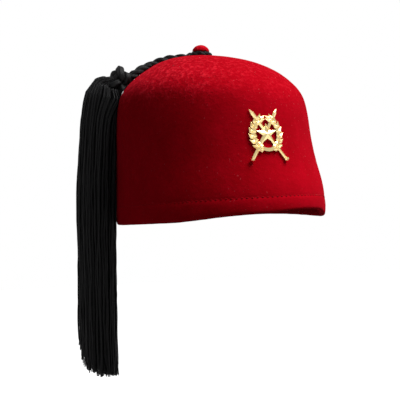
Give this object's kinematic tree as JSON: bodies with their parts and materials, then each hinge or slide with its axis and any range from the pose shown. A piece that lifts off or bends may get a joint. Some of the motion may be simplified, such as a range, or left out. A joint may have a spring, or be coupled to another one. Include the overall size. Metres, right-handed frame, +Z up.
{
  "type": "fez hat",
  "caption": "Red felt fez with a covered button, a twisted black cord and knot, a long black silk tassel and a pierced gilt badge on the front.",
  "frame": {"origin": "middle of the head opening, in the mean plane of the rim, where the hat sits on a head", "axes": "+Z up through the crown, -Y out of the front of the hat where the badge is, -X to the wearer's right"},
  "size_m": [0.1959, 0.2056, 0.2752],
  "materials": {
    "red_felt": "brushed wool felt, matt",
    "black_cord": "twisted silk, faint sheen",
    "gilt_brass": "gilt, polished"
  },
  "bodies": {
    "root": {"felt_crown": "red_felt", "button": "red_felt", "cord_loop": "black_cord", "tassel_cord": "black_cord", "knot": "black_cord", "tassel": "black_cord", "badge": "gilt_brass", "badge_nut": "gilt_brass"}
  },
  "joints": []
}
